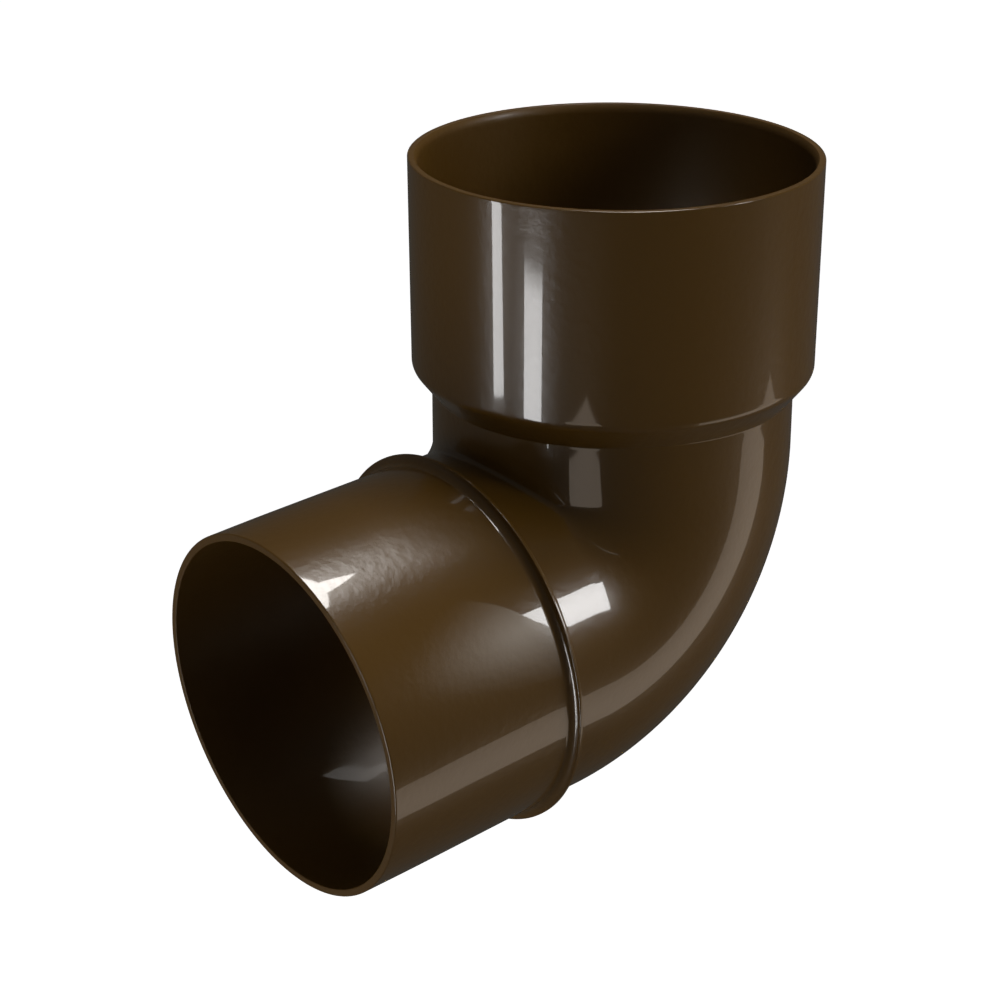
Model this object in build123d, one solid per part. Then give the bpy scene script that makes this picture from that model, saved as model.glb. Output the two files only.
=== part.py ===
from build123d import *
import os
from math import cos, pi, radians, sin, sqrt, tan

# Elbow for a rainwater or waste pipe, moulded in one piece. Lengths are in millimetres, angles in degrees.
# The origin is on the socket's axis, in the plane where the straight bore ends and the seat begins.
# +Z points out of the socket. The spigot leaves towards -Y, in the plane X = 0.

# Wall of the socket, the bend and the spigot
wall = 2.1

# Bend: its outside radius, the radius of its centre line, its turn, and the round in its inner corner. On the
# side of that corner the wall turns more tightly than a torus, by this share of its offset from the centre line
body_radius = 49.1
bend_radius = 45.8
bend_angle = 85.0
inner_corner_radius = 1.6
tighter_share = 0.075

# Socket, open at the top, which takes the end of the pipe above; its bore is wider than the bend's outside
bore_step = 3.4
socket_depth = 56.2
rim_width = 2.6
rim_edge_round = 0.3
lead_in_depth = 2.6
lead_in_width = 0.85

# Shoulder, where the socket narrows to the neck, the seat for the pipe's end inside it, and the neck down to
# where the centre line starts to turn
seat_round = 1.4
shoulder_angle = 38.5
shoulder_foot_round = 0.8
neck_length = 14.06

# Spigot, which goes into the next socket: it widens from the ring on, and is straight towards its mouth
root_step = 0.45
mouth_step = 0.9
spigot_length = 58.1
spigot_straight = 16.0
mouth_outer_round = 0.4
mouth_inner_round = 0.3

# Stop ring between the bend and the spigot; its middle is this far from the end of the centre line's arc
ring_height = 3.2
ring_place = 12.9
ring_width = 1.0
ring_flank_radius = 2.3
ring_edge_round = 0.25

# How finely the bend is drawn: planes of the fan, and points round each section
fan_planes = 13
section_points = 32

# Cutting bodies run past the mouths by this much
overrun = 2.0

# Radii that follow from the bend's
bore_radius = body_radius + bore_step
rim_radius = bore_radius + rim_width
spigot_root_radius = body_radius + root_step
spigot_mouth_radius = body_radius + mouth_step
ring_radius = body_radius + ring_height

# Both skins of the shoulder turn about one centre and then run down parallel cones to the neck
slope = radians(shoulder_angle)
shoulder_centre = bore_radius - seat_round
shoulder_narrowing = shoulder_centre + (seat_round + wall) * cos(slope) - body_radius
neck_top = -(seat_round + wall) * sin(slope) - shoulder_narrowing / tan(slope)

# The fan of planes that cut the bend turns about an axis parallel to X, at the centre of the inner corner
half_turn = radians(bend_angle) / 2
corner_run = max(0.0, inner_corner_radius + body_radius - bend_radius)
corner_height = corner_run * tan(half_turn)
fan_y = -(bend_radius + corner_run)
bend_below_seat = neck_length - neck_top
fan_z = corner_height - bend_below_seat

# Place of the mouth along the spigot, from the end of the bend
spigot_end = ring_place + spigot_length

# Frame of the spigot: centre of the bend's end, with its z along the flow
turn = radians(bend_angle)
spigot_direction = Vector(0, -sin(turn), -cos(turn))
bend_end = Vector(0, bend_radius * (cos(turn) - 1), -bend_below_seat - bend_radius * sin(turn))
spigot_plane = Plane(origin=bend_end, x_dir=(1, 0, 0), z_dir=spigot_direction)


def wall_reach(offset, least_radius, angle):
    """Distance from the fan's axis to one line of the wall, in the plane at this angle.

    The line lies at a fixed X, so seen along X it is straight, an arc, and straight again. Its offset is
    measured from the centre line, positive on the outside of the bend. On the inside the arc turns more
    tightly than a torus would, but its radius is never less than least_radius. Its centre lies on the line
    that halves the bend."""
    torus_radius = bend_radius + offset
    arc_radius = max(torus_radius + tighter_share * min(offset, 0), least_radius)
    centre_shift = (arc_radius - torus_radius) / cos(half_turn)
    centre_gap = corner_run / cos(half_turn) - centre_shift
    arc_start = centre_shift * sin(half_turn)
    across = torus_radius + corner_run
    to_socket_side = across / cos(angle)
    to_spigot_side = across / cos(turn - angle)
    if corner_height - to_socket_side * sin(angle) >= arc_start:
        return to_socket_side
    if corner_height - to_spigot_side * sin(turn - angle) >= arc_start:
        return to_spigot_side
    lean = cos(half_turn - angle)
    return centre_gap * lean + sqrt(arc_radius**2 - centre_gap**2 * (1 - lean**2))


def section(radius, least_radius, angle):
    """Closed section of a pipe skin in the fan's plane at this angle.

    All sections share one set of parameters, so a loft through them needs few patches."""
    points = []
    for step in range(section_points):
        around = 2 * pi * step / section_points
        reach = wall_reach(radius * cos(around), least_radius, angle)
        points.append(Vector(radius * sin(around), fan_y + reach * cos(angle), fan_z - reach * sin(angle)))
    shares = [step / section_points for step in range(section_points + 1)]
    return Wire([Edge.make_spline(points, periodic=True, parameters=shares)])


def bend_body(radius, least_radius):
    """Solid bend of this radius: a loft through the fan, and straight legs into the shoulder and the ring."""
    shoulder_middle = (bore_radius - body_radius + wall) / tan(slope) / 2
    neck_run = -shoulder_middle - fan_z
    spigot_run = ring_place + ring_width - corner_height
    sections = []
    for plane in range(fan_planes):
        sections.append(section(radius, least_radius, turn * plane / (fan_planes - 1)))
    neck = Solid.extrude(Face(sections[0]), Vector(0, 0, neck_run))
    spigot_root = Solid.extrude(Face(sections[-1]), spigot_direction * spigot_run)
    return Solid.make_loft(sections) + neck + spigot_root


def shoulder_arc(radius):
    """Arc of this radius from the straight wall to the start of the shoulder's cone."""
    return CenterArc((shoulder_centre, 0), radius, 0, -shoulder_angle)


def cone_end(radius, end_radius):
    """Point where the cone that follows an arc of this radius has narrowed to end_radius."""
    start_radius = shoulder_centre + radius * cos(slope)
    drop = (start_radius - end_radius) / tan(slope)
    return (end_radius, -radius * sin(slope) - drop)


def turned(lines, plane):
    """Solid of revolution about the z axis of the plane; lines give its outline as radius and height."""
    outline = make_face(Wire(Curve() + lines).edges())
    return plane * revolve(Plane.XZ * outline, Axis.Z)


def socket_body():
    """Outside of the socket and the shoulder, without its bore."""
    arc = shoulder_arc(seat_round + wall)
    end = cone_end(seat_round + wall, body_radius - wall)
    corner = (rim_radius - rim_edge_round, socket_depth - rim_edge_round)
    edge = CenterArc(corner, rim_edge_round, 0, 90)
    lines = [
        Line((0, socket_depth), edge @ 1),
        edge,
        Line(edge @ 0, arc @ 0),
        arc,
        Line(arc @ 1, end),
        Line(end, (0, end[1])),
        Line((0, end[1]), (0, socket_depth)),
    ]
    return turned(lines, Plane.XY)


def socket_bore():
    """Space inside the socket: a rounded lead-in, the straight bore, and the seat's cone."""
    lead_radius = (lead_in_depth**2 + lead_in_width**2) / (2 * lead_in_width)
    lead_start = (bore_radius, socket_depth - lead_in_depth)
    lead_end = (bore_radius + lead_in_width, socket_depth)
    top = socket_depth + overrun
    arc = shoulder_arc(seat_round)
    end = cone_end(seat_round, body_radius - 2 * wall)
    lines = [
        Line((0, top), (lead_end[0], top)),
        Line((lead_end[0], top), lead_end),
        RadiusArc(lead_end, lead_start, lead_radius),
        Line(lead_start, arc @ 0),
        arc,
        Line(arc @ 1, end),
        Line(end, (0, end[1])),
        Line((0, end[1]), (0, top)),
    ]
    return turned(lines, Plane.XY)


def spigot_body():
    """Outside of the spigot and its stop ring, without the bore; heights are places along the spigot."""
    bend_side = ring_place - ring_width / 2
    mouth_side = ring_place + ring_width / 2
    crest = ring_radius - ring_edge_round
    bend_edge = CenterArc((crest, bend_side + ring_edge_round), ring_edge_round, 0, -90)
    mouth_edge = CenterArc((crest, mouth_side - ring_edge_round), ring_edge_round, 0, 90)
    flank_centre = (spigot_root_radius + ring_flank_radius, mouth_side + ring_flank_radius)
    flank = CenterArc(flank_centre, ring_flank_radius, 180, 90)
    mouth_corner = (spigot_mouth_radius - mouth_outer_round, spigot_end - mouth_outer_round)
    mouth = CenterArc(mouth_corner, mouth_outer_round, 0, 90)
    straight_start = (spigot_mouth_radius, spigot_end - spigot_straight)
    lines = [
        Line((0, bend_side), bend_edge @ 1),
        bend_edge,
        Line(bend_edge @ 0, mouth_edge @ 0),
        mouth_edge,
        Line(mouth_edge @ 1, flank @ 1),
        flank,
        Line(flank @ 0, straight_start),
        Line(straight_start, mouth @ 0),
        mouth,
        Line(mouth @ 1, (0, spigot_end)),
        Line((0, spigot_end), (0, bend_side)),
    ]
    return turned(lines, spigot_plane)


def spigot_bore():
    """Space inside the spigot, a step wider than the bend's; heights are places along the spigot."""
    root = spigot_root_radius - wall
    mouth = spigot_mouth_radius - wall
    step = spigot_root_radius - body_radius + wall
    step_end = ring_place + ring_width / 2
    flare_centre = (mouth + mouth_inner_round, spigot_end - mouth_inner_round)
    flare = CenterArc(flare_centre, mouth_inner_round, 180, -90)
    top = spigot_end + overrun
    lines = [
        Line((0, step_end - step), (root - step, step_end - step)),
        Line((root - step, step_end - step), (root, step_end)),
        Line((root, step_end), flare @ 0),
        flare,
        Line(flare @ 1, (mouth + mouth_inner_round, top)),
        Line((mouth + mouth_inner_round, top), (0, top)),
        Line((0, top), (0, step_end - step)),
    ]
    return turned(lines, spigot_plane)


def seam(part, plane, height):
    """Edge where the bend's skin meets another body, at this height along the plane's z axis."""

    def misfit(edge):
        point = plane.to_local_coords(edge @ 0.3)
        return abs(point.Z - height) + abs(sqrt(point.X**2 + point.Y**2) - body_radius)

    return min(part.edges(), key=misfit)


def elbow():
    """The whole moulding: outside bodies joined and rounded, with the inside spaces cut away."""
    outside = bend_body(body_radius, inner_corner_radius) + socket_body() + spigot_body()
    ring_foot = seam(outside, spigot_plane, ring_place - ring_width / 2)
    outside = fillet(ring_foot, ring_flank_radius)
    shoulder_foot = seam(outside, Plane.XY, neck_top)
    outside = fillet(shoulder_foot, shoulder_foot_round)
    inside = bend_body(body_radius - wall, inner_corner_radius + wall) + socket_bore() + spigot_bore()
    return outside - inside


os.makedirs("parts", exist_ok=True)
export_step(elbow(), "parts/elbow.step")
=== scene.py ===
"""A glossy brown PVC pipe elbow and the studio that it is pictured in.

The elbow is one moulding: a wide socket that opens upwards, a shoulder, a bend of 85 degrees, a stop ring
and a plain spigot. Lengths are in metres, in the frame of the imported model: the origin is on the socket's
axis where its straight bore ends, +Z points out of the socket, and the spigot leaves towards -Y.
"""

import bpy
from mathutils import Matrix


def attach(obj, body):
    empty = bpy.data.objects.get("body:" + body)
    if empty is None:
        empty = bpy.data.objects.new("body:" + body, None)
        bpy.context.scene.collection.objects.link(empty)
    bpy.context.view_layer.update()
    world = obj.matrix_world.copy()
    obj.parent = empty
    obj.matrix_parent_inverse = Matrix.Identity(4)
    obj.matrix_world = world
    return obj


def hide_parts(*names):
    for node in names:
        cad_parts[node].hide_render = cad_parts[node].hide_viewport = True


bl_info = {
    "name": "PVC Pipe Elbow",
    "version": (1, 0, 0),
    "blender": (4, 5, 0),
    "location": "3D View > Sidebar > Pipe Elbow",
    "description": "Builds a moulded pipe elbow and a plain studio round it",
    "category": "Add Mesh",
}

import bpy
import numpy as np
from mathutils import Matrix, Vector

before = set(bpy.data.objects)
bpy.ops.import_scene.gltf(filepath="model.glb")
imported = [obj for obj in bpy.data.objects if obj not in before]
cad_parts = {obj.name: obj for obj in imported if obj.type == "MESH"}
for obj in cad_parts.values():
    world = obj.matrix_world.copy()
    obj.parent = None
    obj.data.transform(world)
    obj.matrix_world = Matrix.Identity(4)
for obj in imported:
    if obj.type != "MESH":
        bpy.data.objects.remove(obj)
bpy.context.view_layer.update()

MM = 0.001
WHITE = (1.0, 1.0, 1.0)

# How finely the elbow is drawn: columns around it, and rows along the outside and the inside of its bend
COLUMNS = 288
BEND_ROWS_OUTSIDE = 96
BEND_ROWS_INSIDE = 72

# Point attribute that is 1 on the inside of the elbow and 0 on its outside
INSIDE_MARK = "inside"

# Refractive index of the plastic, and height of its grain
PLASTIC_IOR = 1.5
GRAIN_HEIGHT = 0.2 * MM


def length(name, millimetres, description):
    """Property for a length of the elbow, with its default in millimetres."""
    return bpy.props.FloatProperty(
        name=name, description=description, default=millimetres * MM, min=0.0, unit="LENGTH", precision=5
    )


def share(name, default, description):
    """Property for a share, from nothing to all."""
    return bpy.props.FloatProperty(name=name, description=description, default=default, min=0.0, max=1.0)


def light_strength(name, default, description):
    """Property for the strength of a light, where 1 is as bright as white."""
    return bpy.props.FloatProperty(name=name, description=description, default=default, min=0.0)


def colour(name, default, description):
    """Property for a colour in linear light."""
    return bpy.props.FloatVectorProperty(
        name=name, description=description, default=default, size=3, min=0.0, max=1.0, subtype="COLOR"
    )


def angle(name, degrees, description):
    """Property for an angle, with its default in degrees."""
    return bpy.props.FloatProperty(
        name=name, description=description, default=np.radians(degrees), subtype="ANGLE"
    )


def studio_length(name, metres, description):
    """Property for a height or a distance in the studio, with its default in metres."""
    return bpy.props.FloatProperty(name=name, description=description, default=metres, unit="LENGTH")


class ElbowSizes(bpy.types.PropertyGroup):
    """Sizes of the moulding."""

    wall: length("Wall", 2.1, "Thickness of the wall")
    bore_radius: length("Bore radius", 52.5, "Inside radius of the socket")
    socket_depth: length("Socket depth", 56.2, "From the seat to the socket's rim")
    rim_radius: length("Rim radius", 55.1, "Outside radius of the socket's rim")
    rim_round: length("Rim rounding", 0.3, "Rounding of the rim's outer edge")
    lead_in_depth: length("Lead-in depth", 2.6, "How deep the flared lead-in goes")
    lead_in_width: length("Lead-in width", 0.85, "How much the lead-in widens the bore")
    lead_in_round: length("Lead-in rounding", 0.15, "Rounding between the lead-in and the rim")
    seat_round: length("Seat rounding", 1.4, "Rounding where the bore meets the seat")
    shoulder_angle: angle("Shoulder angle", 38.5, "Slope of the shoulder from the socket's axis")
    foot_round: length("Shoulder foot", 0.8, "Hollow rounding where the shoulder meets the neck")
    throat_round: length("Throat rounding", 1.5, "Rounding where the seat's cone meets the bend's bore")
    body_radius: length("Bend radius", 49.1, "Outside radius of the bend's section")
    bend_radius: length("Centre line radius", 45.8, "Radius of the bend's centre line")
    bend_angle: angle("Bend angle", 85.0, "How far the bend turns the flow")
    corner_radius: length("Inner corner", 1.6, "Radius of the corner on the inside of the bend")
    tighter_share: share(
        "Tighter inside", 0.075, "How much more tightly than a torus the inside of the bend turns"
    )
    bend_below_seat: length(
        "Neck", 22.1967, "From the seat's plane down to where the centre line starts to turn"
    )
    root_radius: length("Spigot root radius", 49.55, "Outside radius of the spigot at the stop ring")
    mouth_radius: length("Spigot mouth radius", 50.0, "Outside radius of the spigot at its mouth")
    spigot_straight: length("Straight stretch", 16.0, "Straight stretch before the mouth")
    spigot_end: length("Spigot end", 71.0, "From the end of the bend to the mouth")
    mouth_outer_round: length("Mouth outer rounding", 0.4, "Rounding of the mouth's outer edge")
    mouth_inner_round: length("Mouth inner rounding", 0.3, "Rounding of the mouth's inner edge")
    ring_radius: length("Ring radius", 52.3, "Outside radius of the stop ring")
    ring_place: length("Ring place", 12.9, "From the end of the bend to the ring's middle")
    ring_width: length("Ring width", 1.0, "Width of the ring's crest")
    ring_flank: length("Ring flank", 2.3, "Radius of the hollow flanks on both sides of the ring")
    ring_round: length("Ring rounding", 0.25, "Rounding of the ring's edges")


class ElbowFinish(bpy.types.PropertyGroup):
    """Look of the plastic."""

    brown: colour("Brown", (0.060, 0.028, 0.002), "Colour of the plastic")
    pale_brown: colour("Pale brown", (0.066, 0.032, 0.004), "Colour of the plastic where it flowed last")
    plastic_roughness: share("Roughness", 0.28, "Roughness of the plastic under its polished skin")
    skin_roughness: share("Skin roughness", 0.03, "Roughness of the polished skin")
    inside_roughness: share("Inside roughness", 0.42, "Roughness of the plastic on the inside")
    grain: share("Grain", 0.35, "Depth of the satin grain under the polished skin")
    inside_gloss: share("Inside gloss", 0.06, "How much of the polished skin the inside has")


class StudioSettings(bpy.types.PropertyGroup):
    """Camera, floor and light."""

    camera_place: bpy.props.FloatVectorProperty(
        name="Camera place", description="Where the camera stands",
        default=(0.5077, -0.4482, 0.2381), size=3, subtype="TRANSLATION",
    )
    camera_yaw: angle("Camera yaw", 51.15, "Turn of the camera about the vertical")
    camera_pitch: angle("Camera pitch", 22.545, "How far the camera looks down")
    camera_lens: bpy.props.FloatProperty(
        name="Lens", description="Focal length in millimetres on a 36 mm sensor", default=94.909, min=10.0
    )
    floor_height: studio_length("Floor height", -3.2, "Height of the floor, from the socket's seat")
    floor_colour: colour("Floor colour", (0.8, 0.8, 0.8), "Colour of the floor")
    floor_glow: light_strength("Floor glow", 0.9, "Light that the floor gives off, to look white")
    cloth: colour("Cloth", (0.042, 0.04, 0.036), "Grey of the cloths that the gloss mirrors")
    back_cloth: colour("Back cloth", (0.055, 0.05, 0.045), "Grey of the cloths behind the elbow")
    cloth_distance: studio_length("Cloth distance", 3.0, "How far away the cloths hang")
    lamp_distance: studio_length("Lamp distance", 2.8, "How far away the side lamps stand")
    fill: light_strength("Fill", 0.14, "Strength of the soft light from all sides")
    left_strip: light_strength("Left strip", 8.9, "Strength of the left strip lamp")
    right_strip: light_strength("Right strip", 9.3, "Strength of the right strip lamp")
    window: light_strength("Window", 12.6, "Strength of the square lamp")
    overhead: light_strength("Overhead", 15.0, "Strength of the lamp overhead")
    low_panels: light_strength("Low panels", 0.85, "Strength of the two large panels below the elbow")
    side_light: light_strength("Side light", 1.75, "Strength of the soft light from the right")
    top_light: light_strength("Top light", 1.5, "Strength of the soft light from above")
    left_light: light_strength("Left light", 1.2, "Strength of the soft light from the left")
    glow: light_strength("Glow", 2.6, "Strength of the soft glow on the spigot beside the square lamp")
    warm: colour("Warm light", (1.0, 0.86, 0.72), "Colour of the large panels")


def graded_run(start, end, count):
    """Points on the straight line from start towards end, closer together near its ends, without the end.

    Share i of n is half of one minus the cosine of i half turns over n."""
    shares = (1 - np.cos(np.pi * np.arange(count) / count)) / 2
    return np.array(start) + shares[:, None] * (np.array(end) - np.array(start))


def arc(centre, radius, first, last, count):
    """Points on an arc in the plane of radius and height, from angle first towards last, without its end.

    Each is the centre plus the radius times the cosine and the sine of its angle, in even steps."""
    angles = first + (last - first) * np.arange(count) / count
    return np.array(centre) + radius * np.stack([np.cos(angles), np.sin(angles)], axis=1)


def fan(sizes):
    """Half of the bend's turn, the way from the centre line's arc to the inner corner, and the fan's axis.

    The planes that cut the bend turn about the centre of the inner corner. Its run along each leg is the
    corner's radius plus the body's radius less the centre line's radius."""
    half_turn = sizes.bend_angle / 2
    run = max(0.0, sizes.corner_radius + sizes.body_radius - sizes.bend_radius)
    axis_y = -(sizes.bend_radius + run)
    axis_z = run * np.tan(half_turn) - sizes.bend_below_seat
    return half_turn, run, axis_y, axis_z


def socket_surface(profile, around):
    """Surface of revolution about the socket's axis: (r sin a, r cos a, h) for profile points (r, h)."""
    radius, height = profile[:, :1], profile[:, 1:]
    return np.stack(
        np.broadcast_arrays(radius * np.sin(around), radius * np.cos(around), height), axis=-1
    )


def spigot_surface(profile, around, sizes):
    """Surface of revolution about the spigot's axis, which starts where the centre line's arc ends.

    The point is the arc's end, plus h along the flow, plus r cos a away from the bend's centre, plus
    r sin a along X, for profile points (r, h)."""
    turn = sizes.bend_angle
    radius, place = profile[:, :1], profile[:, 1:]
    arc_end_y = sizes.bend_radius * (np.cos(turn) - 1)
    arc_end_z = -sizes.bend_below_seat - sizes.bend_radius * np.sin(turn)
    offset = radius * np.cos(around)
    y = arc_end_y - place * np.sin(turn) + offset * np.cos(turn)
    z = arc_end_z - place * np.cos(turn) - offset * np.sin(turn)
    return np.stack(np.broadcast_arrays(radius * np.sin(around), y, z), axis=-1)


def bend_surface(radius, least_radius, angles, around, sizes):
    """Skin of the bend, as a function of the fan plane's angle t and the angle around the section a.

    A point lies at x = r sin a. Seen along X, its line is straight, an arc and straight again, at the
    offset r cos a from the centre line. The arc's radius is the centre line's radius plus the offset, and
    on the inside less by a share of the offset, but never less than least_radius. Its centre lies on the
    line that halves the bend. How far the wall is from the fan's axis is worked out in each plane."""
    half_turn, run, axis_y, axis_z = fan(sizes)
    turn = sizes.bend_angle
    t = angles[:, None]
    offset = radius * np.cos(around)
    torus_radius = sizes.bend_radius + offset
    arc_radius = np.maximum(torus_radius + sizes.tighter_share * np.minimum(offset, 0), least_radius)
    centre_shift = (arc_radius - torus_radius) / np.cos(half_turn)
    centre_gap = run / np.cos(half_turn) - centre_shift
    arc_start = centre_shift * np.sin(half_turn)
    across = torus_radius + run
    height = run * np.tan(half_turn)
    to_socket_side = across / np.cos(t)
    to_spigot_side = across / np.cos(turn - t)
    lean = np.cos(half_turn - t)
    to_arc = centre_gap * lean + np.sqrt(np.maximum(arc_radius**2 - centre_gap**2 * (1 - lean**2), 0))
    before_arc = height - to_socket_side * np.sin(t) >= arc_start
    after_arc = height - to_spigot_side * np.sin(turn - t) >= arc_start
    reach = np.where(before_arc, to_socket_side, np.where(after_arc, to_spigot_side, to_arc))
    y = axis_y + reach * np.cos(t)
    z = axis_z - reach * np.sin(t)
    return np.stack(np.broadcast_arrays(radius * np.sin(around), y, z), axis=-1)


def cone_place(radius, end_radius, sizes):
    """Height where the shoulder's cone, after an arc of this radius, has narrowed to end_radius."""
    slope = sizes.shoulder_angle
    arc_end = sizes.bore_radius - sizes.seat_round + radius * np.cos(slope)
    return -radius * np.sin(slope) - (arc_end - end_radius) / np.tan(slope)


# In the profiles below, the last value of each stretch is how many points it has


def socket_outside(sizes):
    """Profile of the socket's outside: rounded rim, straight wall, shoulder and the hollow at its foot."""
    slope = sizes.shoulder_angle
    rim_centre = (sizes.rim_radius - sizes.rim_round, sizes.socket_depth - sizes.rim_round)
    shoulder_radius = sizes.seat_round + sizes.wall
    shoulder_centre = sizes.bore_radius - sizes.seat_round
    foot_lift = sizes.foot_round * (1 - np.cos(slope))
    foot_start = cone_place(shoulder_radius, sizes.body_radius + foot_lift, sizes)
    foot_centre = (sizes.body_radius + sizes.foot_round, foot_start - sizes.foot_round * np.sin(slope))
    cone_start = arc((shoulder_centre, 0), shoulder_radius, -slope, 0, 1)[0]
    return np.vstack([
        arc(rim_centre, sizes.rim_round, np.pi / 2, 0, 5),
        graded_run((sizes.rim_radius, rim_centre[1]), (shoulder_centre + shoulder_radius, 0), 14),
        arc((shoulder_centre, 0), shoulder_radius, 0, -slope, 8),
        graded_run(cone_start, (sizes.body_radius + foot_lift, foot_start), 7),
        arc(foot_centre, sizes.foot_round, np.pi - slope, np.pi, 7),
        graded_run((sizes.body_radius, foot_centre[1]), (sizes.body_radius, fan(sizes)[3]), 5),
    ])


def widening_run(sizes, start, end, count):
    """Profile of the spigot from its root to its mouth: a slight cone that eases into a straight stretch.

    At run s before the straight stretch the radius is the mouth's less the slope times s. Within the ease
    on both sides of s = 0, s is replaced by (s + ease) squared over four times the ease."""
    ease = 6.0 * MM
    place = start + (end - start) * np.arange(count) / count
    straight_start = sizes.spigot_end - sizes.spigot_straight
    slope = (sizes.mouth_radius - sizes.root_radius) / (straight_start - start)
    run = straight_start - place
    eased = np.where(run > ease, run, np.clip(run + ease, 0.0, None) ** 2 / (4 * ease))
    return np.stack([sizes.mouth_radius - slope * eased, place], axis=1)


def spigot_outside(sizes):
    """Profile of the spigot's outside: hollow flank, ring, hollow flank, widening wall, rounded mouth."""
    bend_side = sizes.ring_place - sizes.ring_width / 2
    mouth_side = sizes.ring_place + sizes.ring_width / 2
    flank = sizes.ring_flank
    crest = sizes.ring_radius - sizes.ring_round
    root = sizes.root_radius
    mouth_round = sizes.mouth_outer_round
    mouth_centre = (sizes.mouth_radius - mouth_round, sizes.spigot_end - mouth_round)
    return np.vstack([
        graded_run((sizes.body_radius, fan(sizes)[3] + sizes.bend_below_seat),
                   (sizes.body_radius, bend_side - flank), 4),
        arc((sizes.body_radius + flank, bend_side - flank), flank, np.pi, np.pi / 2, 9),
        graded_run((sizes.body_radius + flank, bend_side), (crest, bend_side), 2),
        arc((crest, bend_side + sizes.ring_round), sizes.ring_round, -np.pi / 2, 0, 4),
        graded_run((sizes.ring_radius, bend_side + sizes.ring_round),
                   (sizes.ring_radius, mouth_side - sizes.ring_round), 2),
        arc((crest, mouth_side - sizes.ring_round), sizes.ring_round, 0, np.pi / 2, 4),
        graded_run((crest, mouth_side), (root + flank, mouth_side), 1),
        arc((root + flank, mouth_side + flank), flank, -np.pi / 2, -np.pi, 9),
        widening_run(sizes, mouth_side + flank, mouth_centre[1], 18),
        arc(mouth_centre, mouth_round, 0, np.pi / 2, 5),
    ])


def spigot_inside(sizes):
    """Profile of the spigot's lip and bore, from the mouth's flat back to the bend."""
    root = sizes.root_radius - sizes.wall
    mouth = sizes.mouth_radius - sizes.wall
    bend_bore = sizes.body_radius - sizes.wall
    step_end = sizes.ring_place + sizes.ring_width / 2
    step_start = step_end - (root - bend_bore)
    flare = sizes.mouth_inner_round
    return np.vstack([
        graded_run((sizes.mouth_radius - sizes.mouth_outer_round, sizes.spigot_end),
                   (mouth + flare, sizes.spigot_end), 3),
        arc((mouth + flare, sizes.spigot_end - flare), flare, np.pi / 2, np.pi, 5),
        graded_run((mouth, sizes.spigot_end - flare), (root, step_end), 12),
        graded_run((root, step_end), (bend_bore, step_start), 3),
        graded_run((bend_bore, step_start), (bend_bore, fan(sizes)[3] + sizes.bend_below_seat), 4),
    ])


def socket_inside(sizes):
    """Profile of the socket's inside: throat, seat, straight bore, flared lead-in and the rim's flat."""
    slope = sizes.shoulder_angle
    throat = sizes.body_radius - sizes.wall
    round_lift = sizes.throat_round * (1 - np.cos(slope))
    corner = cone_place(sizes.seat_round, throat, sizes)
    round_start = corner - sizes.throat_round * np.tan(slope / 2)
    seat_centre = (sizes.bore_radius - sizes.seat_round, 0)
    cone_end = arc(seat_centre, sizes.seat_round, -slope, 0, 1)[0]
    cone_start = (throat + round_lift, round_start + sizes.throat_round * np.sin(slope))
    lead_radius = (sizes.lead_in_depth**2 + sizes.lead_in_width**2) / (2 * sizes.lead_in_width)
    lead_start = sizes.socket_depth - sizes.lead_in_depth
    lead_centre = sizes.bore_radius + lead_radius
    edge = sizes.lead_in_round
    rise = sizes.lead_in_depth - edge
    edge_radius = lead_centre - np.sqrt((lead_radius - edge) ** 2 - rise**2)
    meet = np.arctan2(rise, edge_radius - lead_centre)
    return np.vstack([
        graded_run((throat, fan(sizes)[3]), (throat, round_start), 4),
        arc((throat + sizes.throat_round, round_start), sizes.throat_round, np.pi, np.pi - slope, 5),
        graded_run(cone_start, cone_end, 6),
        arc(seat_centre, sizes.seat_round, -slope, 0, 6),
        graded_run((sizes.bore_radius, 0), (sizes.bore_radius, lead_start), 12),
        arc((lead_centre, lead_start), lead_radius, np.pi, meet, 7),
        arc((edge_radius, sizes.socket_depth - edge), edge, meet, np.pi / 2, 3),
        graded_run((edge_radius, sizes.socket_depth),
                   (sizes.rim_radius - sizes.rim_round, sizes.socket_depth), 3),
    ])


def moulding_surface(sizes):
    """Whole skin of the elbow as one grid that closes on itself both ways.

    Rows run from the socket's rim down the outside to the spigot's mouth, and back up the inside to the
    rim. Columns run around the section. Gives the points and, for each row, 1 if it is inside, else 0."""
    around = 2 * np.pi * np.arange(COLUMNS) / COLUMNS
    turn = sizes.bend_angle
    outer_angles = turn * np.arange(BEND_ROWS_OUTSIDE) / BEND_ROWS_OUTSIDE
    inner_angles = turn * (1 - np.arange(BEND_ROWS_INSIDE) / BEND_ROWS_INSIDE)
    bore = sizes.body_radius - sizes.wall
    corner = sizes.corner_radius + sizes.wall
    outside = [
        socket_surface(socket_outside(sizes), around),
        bend_surface(sizes.body_radius, sizes.corner_radius, outer_angles, around, sizes),
        spigot_surface(spigot_outside(sizes), around, sizes),
    ]
    inside = [
        spigot_surface(spigot_inside(sizes), around, sizes),
        bend_surface(bore, corner, inner_angles, around, sizes),
        socket_surface(socket_inside(sizes), around),
    ]
    grid = np.concatenate(outside + inside)
    inner = np.zeros(len(grid))
    inner[sum(len(part) for part in outside):] = 1.0
    return grid, inner


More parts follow.
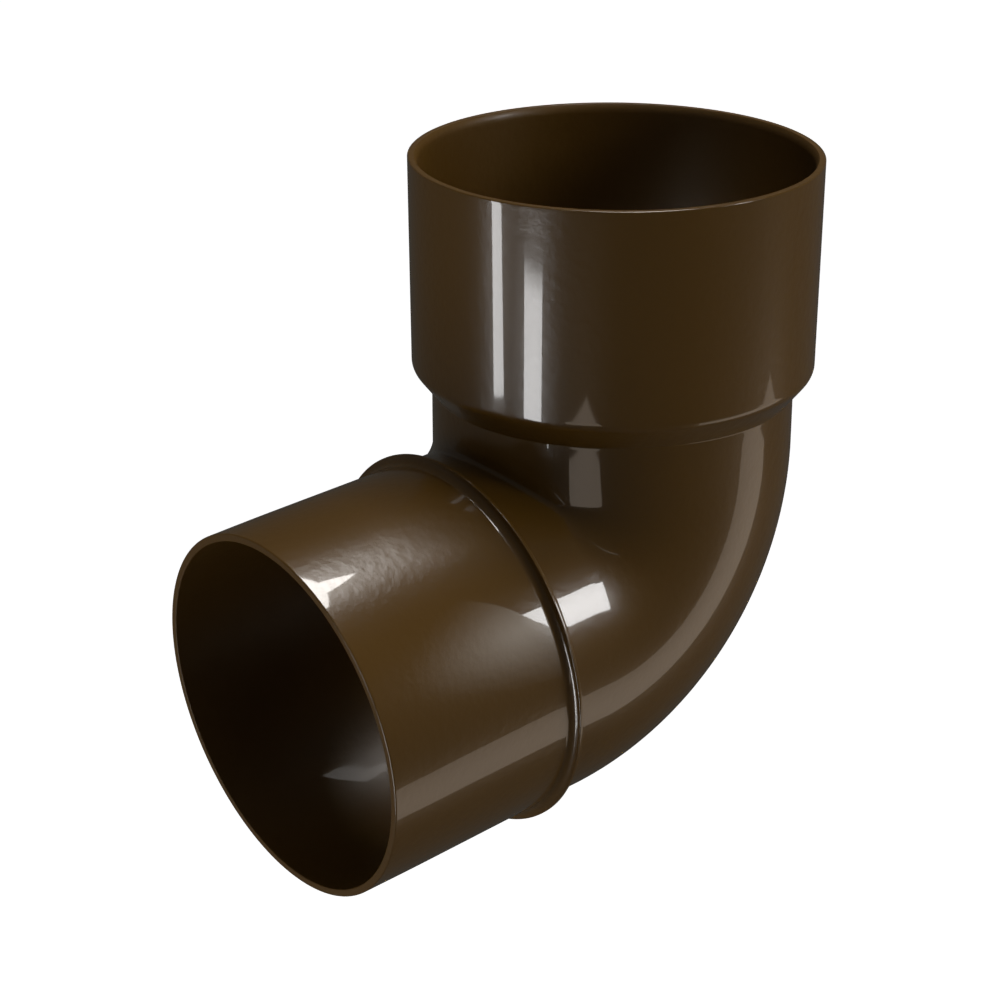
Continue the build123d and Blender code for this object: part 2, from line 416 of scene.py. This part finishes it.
def closed_grid_mesh(name, grid, row_mark, mark_name):
    """Mesh of a grid that closes on itself both ways, with smooth faces that point outwards.

    Its UV map has the share of the way round as U and the way along the rows in metres as V, and the rows'
    marks become a point attribute."""
    rows, columns = grid.shape[:2]
    row, column = np.meshgrid(np.arange(rows), np.arange(columns), indexing="ij")
    corners = [(row, column), (row, column + 1), (row + 1, column + 1), (row + 1, column)]
    faces = np.stack([(r % rows) * columns + c % columns for r, c in corners], axis=-1).reshape(-1, 4)
    points = grid.reshape(-1, 3)
    spread = np.stack([points[faces[:, k]] for k in range(4)])
    centre = spread.mean(0)
    normal = np.cross(spread[2] - spread[0], spread[3] - spread[1])
    # Summed over the faces, middle times normal is six times the volume, and above 0 where they point out
    outwards = np.einsum("ij,ij->", centre, normal) > 0
    order = [0, 1, 2, 3] if outwards else [0, 3, 2, 1]
    mesh = bpy.data.meshes.new(name)
    mesh.from_pydata(points.tolist(), [], faces[:, order].tolist())
    steps = np.linalg.norm(np.diff(grid, axis=0, append=grid[:1]), axis=-1).max(1)
    along = np.concatenate([[0.0], np.cumsum(steps)])
    uv = np.stack(
        [np.stack([c / columns, along[r]], axis=-1) for r, c in corners], axis=2
    ).reshape(-1, 4, 2)[:, order]
    layer = mesh.uv_layers.new(name="around_and_along")
    layer.data.foreach_set("uv", uv.astype(np.float32).ravel())
    mark = mesh.attributes.new(mark_name, "FLOAT", "POINT")
    mark.data.foreach_set("value", np.repeat(row_mark, columns).astype(np.float32))
    mesh.polygons.foreach_set("use_smooth", np.ones(len(faces), dtype=bool))
    mesh.update()
    return mesh


def add_piece(name, mesh, material, body):
    """Object for a finished mesh, which rides on a body and takes the material it is given."""
    mesh.materials.append(material)
    piece = bpy.data.objects.new(name, mesh)
    bpy.context.scene.collection.objects.link(piece)
    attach(piece, body)
    return piece


def mapped(tree, source, to, within=(0.0, 1.0), smooth=False):
    """Output that runs between the two values of to while the source runs between those of within."""
    node = tree.nodes.new("ShaderNodeMapRange")
    if smooth:
        node.interpolation_type = "SMOOTHSTEP"
    for end, value in zip(("From Min", "From Max", "To Min", "To Max"), (*within, *to)):
        node.inputs[end].default_value = value
    tree.links.new(source, node.inputs["Value"])
    return node.outputs["Result"]


def combined(tree, operation, first, second):
    """Output that combines two outputs by a Math node's operation."""
    node = tree.nodes.new("ShaderNodeMath")
    node.operation = operation
    tree.links.new(first, node.inputs[0])
    tree.links.new(second, node.inputs[1])
    return node.outputs["Value"]


def blended(tree, factor, first, second):
    """Output that goes from the first colour to the second as the factor goes from 0 to 1."""
    node = tree.nodes.new("ShaderNodeMix")
    node.data_type = "RGBA"
    node.inputs["A"].default_value = (*first, 1.0)
    node.inputs["B"].default_value = (*second, 1.0)
    tree.links.new(factor, node.inputs["Factor"])
    return node.outputs["Result"]


def noise(tree, place, scale, detail):
    """Output of a noise texture that is read at this place."""
    texture = tree.nodes.new("ShaderNodeTexNoise")
    texture.inputs["Scale"].default_value = scale
    texture.inputs["Detail"].default_value = detail
    tree.links.new(place, texture.inputs["Vector"])
    return texture.outputs["Fac"]


def plastic(finish):
    """Brown plastic: satin and finely grained, under a polished skin of which the inside has hardly any."""
    material = bpy.data.materials.new("brown_plastic")
    material.use_nodes = True
    tree = material.node_tree
    shader = tree.nodes["Principled BSDF"]
    place = tree.nodes.new("ShaderNodeTexCoord").outputs["Object"]
    flow_marks = noise(tree, place, scale=30.0, detail=3.0)
    tone = blended(tree, flow_marks, finish.brown, finish.pale_brown)
    tree.links.new(tone, shader.inputs["Base Color"])
    bump = tree.nodes.new("ShaderNodeBump")
    bump.inputs["Strength"].default_value = finish.grain
    bump.inputs["Distance"].default_value = GRAIN_HEIGHT
    tree.links.new(noise(tree, place, scale=420.0, detail=2.0), bump.inputs["Height"])
    tree.links.new(bump.outputs["Normal"], shader.inputs["Normal"])
    mark = tree.nodes.new("ShaderNodeAttribute")
    mark.attribute_name = INSIDE_MARK
    skin = mapped(tree, mark.outputs["Fac"], (1.0, finish.inside_gloss))
    satin = mapped(tree, mark.outputs["Fac"], (finish.plastic_roughness, finish.inside_roughness))
    tree.links.new(skin, shader.inputs["Coat Weight"])
    tree.links.new(satin, shader.inputs["Roughness"])
    shader.inputs["Coat Roughness"].default_value = finish.skin_roughness
    shader.inputs["IOR"].default_value = PLASTIC_IOR
    shader.inputs["Coat IOR"].default_value = PLASTIC_IOR
    return material


def seen_directly(tree):
    """Output that is 1 for camera, mirror and glass rays and 0 for the rest."""
    path = tree.nodes.new("ShaderNodeLightPath").outputs
    mirrored = combined(tree, "MAXIMUM", path["Is Glossy Ray"], path["Is Transmission Ray"])
    return combined(tree, "MAXIMUM", path["Is Camera Ray"], mirrored)


def studio_world(settings):
    """World that camera, mirror and glass rays see as white, and that lights the elbow softly."""
    world = bpy.data.worlds.new("studio_world")
    world.use_nodes = True
    tree = world.node_tree
    background = tree.nodes["Background"]
    background.inputs["Color"].default_value = (*WHITE, 1.0)
    strength = mapped(tree, seen_directly(tree), (settings.fill, 1.0))
    tree.links.new(strength, background.inputs["Strength"])
    bpy.context.scene.world = world


def stage_piece(name, corners, faces, material):
    """Piece of the studio, from its corners and faces."""
    mesh = bpy.data.meshes.new(name)
    mesh.from_pydata([tuple(corner) for corner in corners], [], faces)
    mesh.materials.append(material)
    piece = bpy.data.objects.new(name, mesh)
    bpy.context.scene.collection.objects.link(piece)
    return piece


def keep_unseen(piece, mirrored=True, matt=False):
    """Keeps a piece out of the picture, so that it shows only in the elbow's mirrored or matt light."""
    piece.visible_camera = False
    piece.visible_transmission = False
    piece.visible_shadow = False
    piece.visible_glossy = mirrored
    piece.visible_diffuse = matt


def towards(azimuth, elevation, distance):
    """Place at this distance from the socket's seat; azimuth, from +X, and elevation are in degrees."""
    around, above = np.radians(azimuth), np.radians(elevation)
    return distance * np.array([
        np.cos(above) * np.cos(around), np.cos(above) * np.sin(around), np.sin(above)
    ])


def panel_corners(middle, back, outline):
    """Corners of a flat panel, from the direction that its back looks in and its outline in metres.

    The outline runs right and up as seen from behind. Right is the vertical crossed with the back's
    direction, and up is that direction crossed with right."""
    back = np.array(back) / np.linalg.norm(back)
    right = np.cross((0.0, 0.0, 1.0), back)
    right /= np.linalg.norm(right)
    up = np.cross(back, right)
    return [np.array(middle) + u * right + v * up for u, v in outline]


def light_material(name, tint, sampling):
    """Material that only gives off light, with its node tree and its light's node.

    Sampling is FRONT for a lamp, and NONE where only the rays that happen to meet it see its light."""
    material = bpy.data.materials.new(name)
    material.use_nodes = True
    material.cycles.emission_sampling = sampling
    tree = material.node_tree
    tree.nodes.clear()
    light = tree.nodes.new("ShaderNodeEmission")
    light.inputs["Color"].default_value = (*tint, 1.0)
    out = tree.nodes.new("ShaderNodeOutputMaterial")
    tree.links.new(light.outputs["Emission"], out.inputs["Surface"])
    return material, tree, light


def lamp_material(name, strength, tint, soft_start, sampling):
    """Material of a lamp that shines to its front and fades in over this share of its length.

    The share of the way along the lamp is the V of its UV map."""
    material, tree, light = light_material(name, tint, sampling)
    side = tree.nodes.new("ShaderNodeNewGeometry")
    level = mapped(tree, side.outputs["Backfacing"], (strength, 0.0))
    if soft_start > 0.0:
        place = tree.nodes.new("ShaderNodeUVMap")
        place.uv_map = "along"
        along = tree.nodes.new("ShaderNodeSeparateXYZ")
        tree.links.new(place.outputs["UV"], along.inputs["Vector"])
        fade = mapped(tree, along.outputs["Y"], (0.0, 1.0), (0.0, soft_start), smooth=True)
        level = combined(tree, "MULTIPLY", fade, level)
    tree.links.new(level, light.inputs["Strength"])
    return material


def lamp(name, corners, strength, tint=WHITE, soft_start=0.0, lights="all"):
    """Flat lamp that shines at the elbow, from its corners in turn; its first edge is its start.

    Its light is "all", only "mirrored" in the gloss, or only "matt"."""
    corners = np.array(corners)
    face = np.arange(len(corners))
    normal = np.cross(corners[1] - corners[0], corners[2] - corners[1])
    if normal @ corners.mean(0) > 0:
        face = face[::-1]
    sampling = "NONE" if lights == "mirrored" else "FRONT"
    material = lamp_material(name, strength, tint, soft_start, sampling)
    piece = stage_piece(name, corners, [face.tolist()], material)
    along = np.stack([np.full(len(face), 0.5), face > 1], axis=1)
    layer = piece.data.uv_layers.new(name="along")
    layer.data.foreach_set("uv", along.astype(np.float32).ravel())
    keep_unseen(piece, mirrored=lights != "matt", matt=lights != "mirrored")


def studio_lamps(settings):
    """Strips on the left, a square lamp on the right, a softbox overhead, and large panels below.

    The strips and the square lamp are given by azimuth and elevation, the level lamps by x and y. The
    square lamp is two in one place, for its mirrored and its matt light. Three soft lights that aren't
    mirrored set the plain level of the plastic."""

    def hung(places):
        """Corners at the lamps' distance, from azimuths and elevations."""
        return [towards(azimuth, elevation, settings.lamp_distance) for azimuth, elevation in places]

    def level(places, height):
        """Corners at one height."""
        return [(x, y, height) for x, y in places]

    left_strip = hung([(-111.6, -10.0), (-106.2, -10.0), (-103.9, -20.7), (-110.65, -20.7)])
    lamp("left_strip", left_strip, settings.left_strip)
    right_strip = hung([(-90.9, -16.7), (-80.3, -17.0), (-85.0, -45.0), (-93.7, -41.7)])
    lamp("right_strip", right_strip, settings.right_strip, soft_start=0.05)
    window = hung([(36.5, 11.2), (27.4, 10.9), (23.6, 27.0), (36.5, 27.0)])
    lamp("window", window, settings.window, soft_start=0.06, lights="mirrored")
    lamp("window_light", window, settings.window, lights="matt")

    softbox = [
        (-0.75, 0.1), (0.4, 0.1), (0.375, 0.938), (0.0, 0.954),
        (-0.2, 1.02), (-0.373, 0.962), (-0.72, 0.955),
    ]
    softbox_tint = (1.0, 0.97, 0.93)
    lamp("overhead", level(softbox, height=2.4), settings.overhead, softbox_tint)

    panel_height = -0.8
    left_panel_gain = 1.5
    right_panel = [
        (0.50, 0.24), (0.96, 0.24), (1.28, 1.20), (1.36, 1.56), (1.20, 1.86), (0.67, 1.95), (0.58, 1.40),
    ]
    left_panel = [(0.74, -1.60), (1.30, -1.30), (1.35, -1.52), (1.21, -1.745), (0.78, -1.875)]
    lamp("right_panel", level(right_panel, panel_height), settings.low_panels, settings.warm)
    left_strength = left_panel_gain * settings.low_panels
    lamp("left_panel", level(left_panel, panel_height), left_strength, settings.warm)

    soft_distance = 1.5
    square = [(-1.0, -1.0), (1.0, -1.0), (1.0, 1.0), (-1.0, 1.0)]
    soft_lights = {
        "side_light": (towards(60.0, -5.0, soft_distance), settings.side_light),
        "left_light": (towards(-125.0, -35.0, soft_distance), settings.left_light),
        "top_light": ((0.3, 0.4, 2.2), settings.top_light),
    }
    for name, (place, strength) in soft_lights.items():
        lamp(name, panel_corners(place, place, square), strength, lights="matt")


def glow_material(cloth, strength, place, reach):
    """Cloth whose front glows round a place, as strongly there as given.

    What the glow adds falls with the square of the share of its reach that is left. Upwards and downwards
    it reaches less far."""
    tint = (1.0, 0.97, 0.9)
    upright_squash = (1.0, 1.0, 1.5)
    material, tree, light = light_material("glowing_cloth", tint, "NONE")
    offset = tree.nodes.new("ShaderNodeTexCoord").outputs["Object"]
    for operation, value in (("SUBTRACT", place), ("MULTIPLY", upright_squash)):
        step = tree.nodes.new("ShaderNodeVectorMath")
        step.operation = operation
        step.inputs[1].default_value = value
        tree.links.new(offset, step.inputs[0])
        offset = step.outputs["Vector"]
    away = tree.nodes.new("ShaderNodeVectorMath")
    away.operation = "LENGTH"
    tree.links.new(offset, away.inputs[0])
    left = mapped(tree, away.outputs["Value"], (1.0, 0.0), (0.0, reach))
    glow = mapped(tree, combined(tree, "MULTIPLY", left, left), (cloth, strength))
    side = tree.nodes.new("ShaderNodeNewGeometry")
    level = mapped(tree, side.outputs["Backfacing"], (strength, cloth))
    # The front takes the glow in place of its full strength
    tree.links.new(glow, level.node.inputs["To Min"])
    tree.links.new(level, light.inputs["Strength"])
    return material


def studio_flag(settings):
    """Card beside the spigot that only the gloss mirrors.

    It keeps the square lamp off the spigot, and its front glows softly beside it."""
    middle = (0.0865, -0.034, -0.04)
    back = (0.052, 0.9986, 0.2)
    outline = [
        (0.0022, -0.03), (0.0019, -0.0066), (0.0048, 0.0101), (0.0053, 0.0207), (0.0081, 0.0369),
        (0.012, 0.06), (-0.11, 0.1), (-0.11, -0.03),
    ]
    glow_place = panel_corners(middle, back, [(0.006, 0.014)])[0]
    material = glow_material(settings.cloth[1], settings.glow, glow_place, reach=0.08)
    # The outline runs anticlockwise as seen from behind, so the face takes its corners the other way round
    face = list(range(len(outline)))[::-1]
    keep_unseen(stage_piece("flag", panel_corners(middle, back, outline), [face], material))


def studio_floor(settings):
    """Wide round floor that camera, mirror and glass rays see as white, apart from the elbow's shadow."""
    reach = 40.0
    corner_count = 96
    around = np.linspace(0, 2 * np.pi, corner_count, endpoint=False)
    corners = np.stack([
        reach * np.cos(around), reach * np.sin(around), np.full(corner_count, settings.floor_height)
    ], axis=1)
    material = bpy.data.materials.new("pale_floor")
    material.use_nodes = True
    tree = material.node_tree
    shader = tree.nodes["Principled BSDF"]
    shader.inputs["Base Color"].default_value = (*settings.floor_colour, 1.0)
    shader.inputs["Roughness"].default_value = 0.9
    shader.inputs["Emission Color"].default_value = (*WHITE, 1.0)
    glow = mapped(tree, seen_directly(tree), (0.0, settings.floor_glow))
    tree.links.new(glow, shader.inputs["Emission Strength"])
    stage_piece("floor", corners, [list(range(corner_count))], material)


def studio_cloths(settings):
    """Ball of grey cloths, paler behind the elbow, that only the gloss mirrors.

    A point at azimuth a and elevation e lies at (cos e cos a, cos e sin a, sin e) times the cloths'
    distance. The paler grey takes over between two shares of that distance along +Y."""
    rings = 33
    columns = 64
    back_start = 0.6
    back_full = 0.9
    above = np.linspace(-np.pi / 2, np.pi / 2, rings)[:, None]
    around = 2 * np.pi * np.arange(columns) / columns
    grid = settings.cloth_distance * np.stack(np.broadcast_arrays(
        np.cos(above) * np.cos(around), np.cos(above) * np.sin(around), np.sin(above)
    ), axis=-1)
    row, column = np.meshgrid(np.arange(rings - 1), np.arange(columns), indexing="ij")
    corner = row * columns + column
    beside = row * columns + (column + 1) % columns
    faces = np.stack([corner, corner + columns, beside + columns, beside], axis=-1).reshape(-1, 4)
    material, tree, light = light_material("grey_cloth", settings.cloth, "NONE")
    place = tree.nodes.new("ShaderNodeTexCoord")
    part = tree.nodes.new("ShaderNodeSeparateXYZ")
    tree.links.new(place.outputs["Object"], part.inputs["Vector"])
    within = (settings.cloth_distance * back_start, settings.cloth_distance * back_full)
    behind = mapped(tree, part.outputs["Y"], (0.0, 1.0), within, smooth=True)
    tone = blended(tree, behind, settings.cloth, settings.back_cloth)
    tree.links.new(tone, light.inputs["Color"])
    keep_unseen(stage_piece("cloths", grid.reshape(-1, 3), faces.tolist(), material))


def studio_camera(settings):
    """Camera that looks down on the elbow from its front right."""
    yaw, pitch = settings.camera_yaw, settings.camera_pitch
    right = Vector((np.cos(yaw), np.sin(yaw), 0.0))
    back = Vector((np.sin(yaw) * np.cos(pitch), -np.cos(yaw) * np.cos(pitch), np.sin(pitch)))
    up = back.cross(right)
    camera = bpy.data.objects.new("camera", bpy.data.cameras.new("camera"))
    camera.data.lens = settings.camera_lens
    camera.data.clip_start = 10 * MM
    turned = Matrix((right, up, back)).transposed().to_4x4()
    camera.matrix_world = Matrix.Translation(settings.camera_place) @ turned
    bpy.context.scene.collection.objects.link(camera)
    bpy.context.scene.camera = camera


class ELBOW_OT_moulding(bpy.types.Operator):
    """Builds the moulded elbow in place of the plain model"""

    bl_idname = "elbow.moulding"
    bl_label = "Build Elbow"

    def execute(self, context):
        grid, inner = moulding_surface(context.scene.elbow_sizes)
        mesh = closed_grid_mesh("moulded_elbow", grid, inner, INSIDE_MARK)
        piece = add_piece("moulded_elbow", mesh, plastic(context.scene.elbow_finish), "root")
        # Wide faces keep their own shading beside the narrow faces of the roundings
        weights = piece.modifiers.new("even_shading", "WEIGHTED_NORMAL")
        weights.keep_sharp = False
        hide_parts("elbow")
        return {"FINISHED"}


class ELBOW_OT_studio(bpy.types.Operator):
    """Builds the floor, the surroundings, the lamps and the camera"""

    bl_idname = "elbow.studio"
    bl_label = "Build Studio"

    def execute(self, context):
        settings = context.scene.elbow_studio
        studio_world(settings)
        studio_floor(settings)
        studio_cloths(settings)
        studio_lamps(settings)
        studio_flag(settings)
        studio_camera(settings)
        return {"FINISHED"}


class ELBOW_PT_panel(bpy.types.Panel):
    """Lists what can be built, the elbow's sizes and finish, and the studio's settings"""

    bl_idname = "ELBOW_PT_panel"
    bl_label = "Pipe Elbow"
    bl_space_type = "VIEW_3D"
    bl_region_type = "UI"
    bl_category = "Pipe Elbow"

    def draw(self, context):
        scene = context.scene
        for operator in OPERATORS:
            self.layout.operator(operator.bl_idname)
        for group in (scene.elbow_sizes, scene.elbow_finish, scene.elbow_studio):
            box = self.layout.box()
            for name in group.bl_rna.properties.keys():
                if name not in ("rna_type", "name"):
                    box.prop(group, name)


OPERATORS = (ELBOW_OT_moulding, ELBOW_OT_studio)
GROUPS = {"elbow_sizes": ElbowSizes, "elbow_finish": ElbowFinish, "elbow_studio": StudioSettings}


def register():
    """Registers the classes and puts the property groups on the scene."""
    for cls in (*GROUPS.values(), *OPERATORS, ELBOW_PT_panel):
        bpy.utils.register_class(cls)
    for name, group in GROUPS.items():
        setattr(bpy.types.Scene, name, bpy.props.PointerProperty(type=group))


def unregister():
    """Takes the property groups off the scene and unregisters the classes."""
    for name in GROUPS:
        delattr(bpy.types.Scene, name)
    for cls in (ELBOW_PT_panel, *reversed(OPERATORS), *GROUPS.values()):
        bpy.utils.unregister_class(cls)


def main():
    register()
    bpy.context.scene.view_settings.view_transform = "Standard"
    bpy.ops.elbow.studio()
    bpy.ops.elbow.moulding()
    bpy.context.view_layer.update()


if __name__ == "__main__":
    main()
